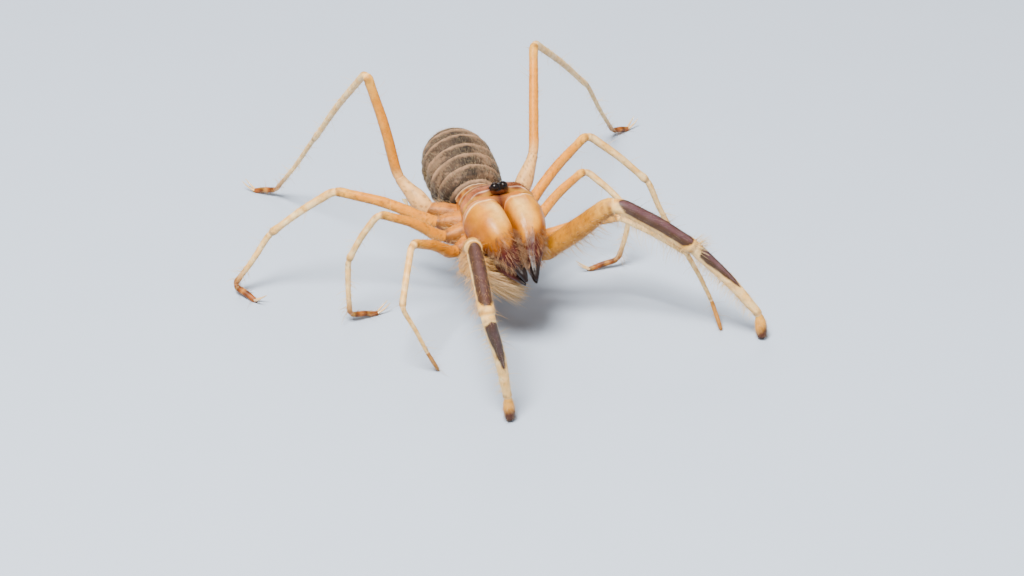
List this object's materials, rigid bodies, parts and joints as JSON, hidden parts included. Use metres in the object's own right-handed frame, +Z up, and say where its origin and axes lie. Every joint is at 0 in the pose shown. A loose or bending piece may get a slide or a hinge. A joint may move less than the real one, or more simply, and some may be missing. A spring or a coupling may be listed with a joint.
{
  "type": "camel spider",
  "caption": "Life-size camel spider standing on its feet: banded abdomen, head shield, long jaws with toothed fingers, raised palps and long curved legs.",
  "frame": {"origin": "bottom centre of the bounding box, on the floor the feet stand on", "axes": "+Z up, the head to -Y, the animal's left to +X"},
  "size_m": [0.0736, 0.0734, 0.0333],
  "materials": {
    "amber_cuticle": "glossy amber cuticle",
    "straw_cuticle": "pale straw cuticle, satin",
    "banded_abdomen": "soft grey-brown plates with pale hind borders",
    "dark_chitin": "dark maroon, glossy",
    "eye_black": "black, mirror smooth"
  },
  "bodies": {
    "root": {"abdomen": "banded_abdomen", "coxae": "straw_cuticle", "head_shield": "amber_cuticle", "left_chelicera": "amber_cuticle", "left_eye": "eye_black", "left_jaw_finger": "dark_chitin", "left_leg1_femur": "amber_cuticle", "left_leg1_metatarsus": "straw_cuticle", "left_leg1_tarsus": "straw_cuticle", "left_leg1_tibia": "straw_cuticle", "left_leg2_femur": "amber_cuticle", "left_leg2_metatarsus": "straw_cuticle", "left_leg2_tarsus": "straw_cuticle", "left_leg2_tibia": "straw_cuticle", "left_leg3_femur": "amber_cuticle", "left_leg3_metatarsus": "straw_cuticle", "left_leg3_tarsus": "straw_cuticle", "left_leg3_tibia": "straw_cuticle", "left_leg4_basifemur": "amber_cuticle", "left_leg4_femur": "amber_cuticle", "left_leg4_metatarsus": "straw_cuticle", "left_leg4_tarsus": "straw_cuticle", "left_leg4_tibia": "straw_cuticle", "left_palp_femur": "amber_cuticle", "left_palp_metatarsus": "straw_cuticle", "left_palp_tarsus": "straw_cuticle", "left_palp_tibia": "straw_cuticle", "right_chelicera": "amber_cuticle", "right_eye": "eye_black", "right_jaw_finger": "dark_chitin", "right_leg1_femur": "amber_cuticle", "right_leg1_metatarsus": "straw_cuticle", "right_leg1_tarsus": "straw_cuticle", "right_leg1_tibia": "straw_cuticle", "right_leg2_femur": "amber_cuticle", "right_leg2_metatarsus": "straw_cuticle", "right_leg2_tarsus": "straw_cuticle", "right_leg2_tibia": "straw_cuticle", "right_leg3_femur": "amber_cuticle", "right_leg3_metatarsus": "straw_cuticle", "right_leg3_tarsus": "straw_cuticle", "right_leg3_tibia": "straw_cuticle", "right_leg4_basifemur": "amber_cuticle", "right_leg4_femur": "amber_cuticle", "right_leg4_metatarsus": "straw_cuticle", "right_leg4_tarsus": "straw_cuticle", "right_leg4_tibia": "straw_cuticle", "right_palp_femur": "amber_cuticle", "right_palp_metatarsus": "straw_cuticle", "right_palp_tarsus": "straw_cuticle", "right_palp_tibia": "straw_cuticle", "second_shield": "amber_cuticle", "third_shield": "amber_cuticle"}
  },
  "joints": []
}
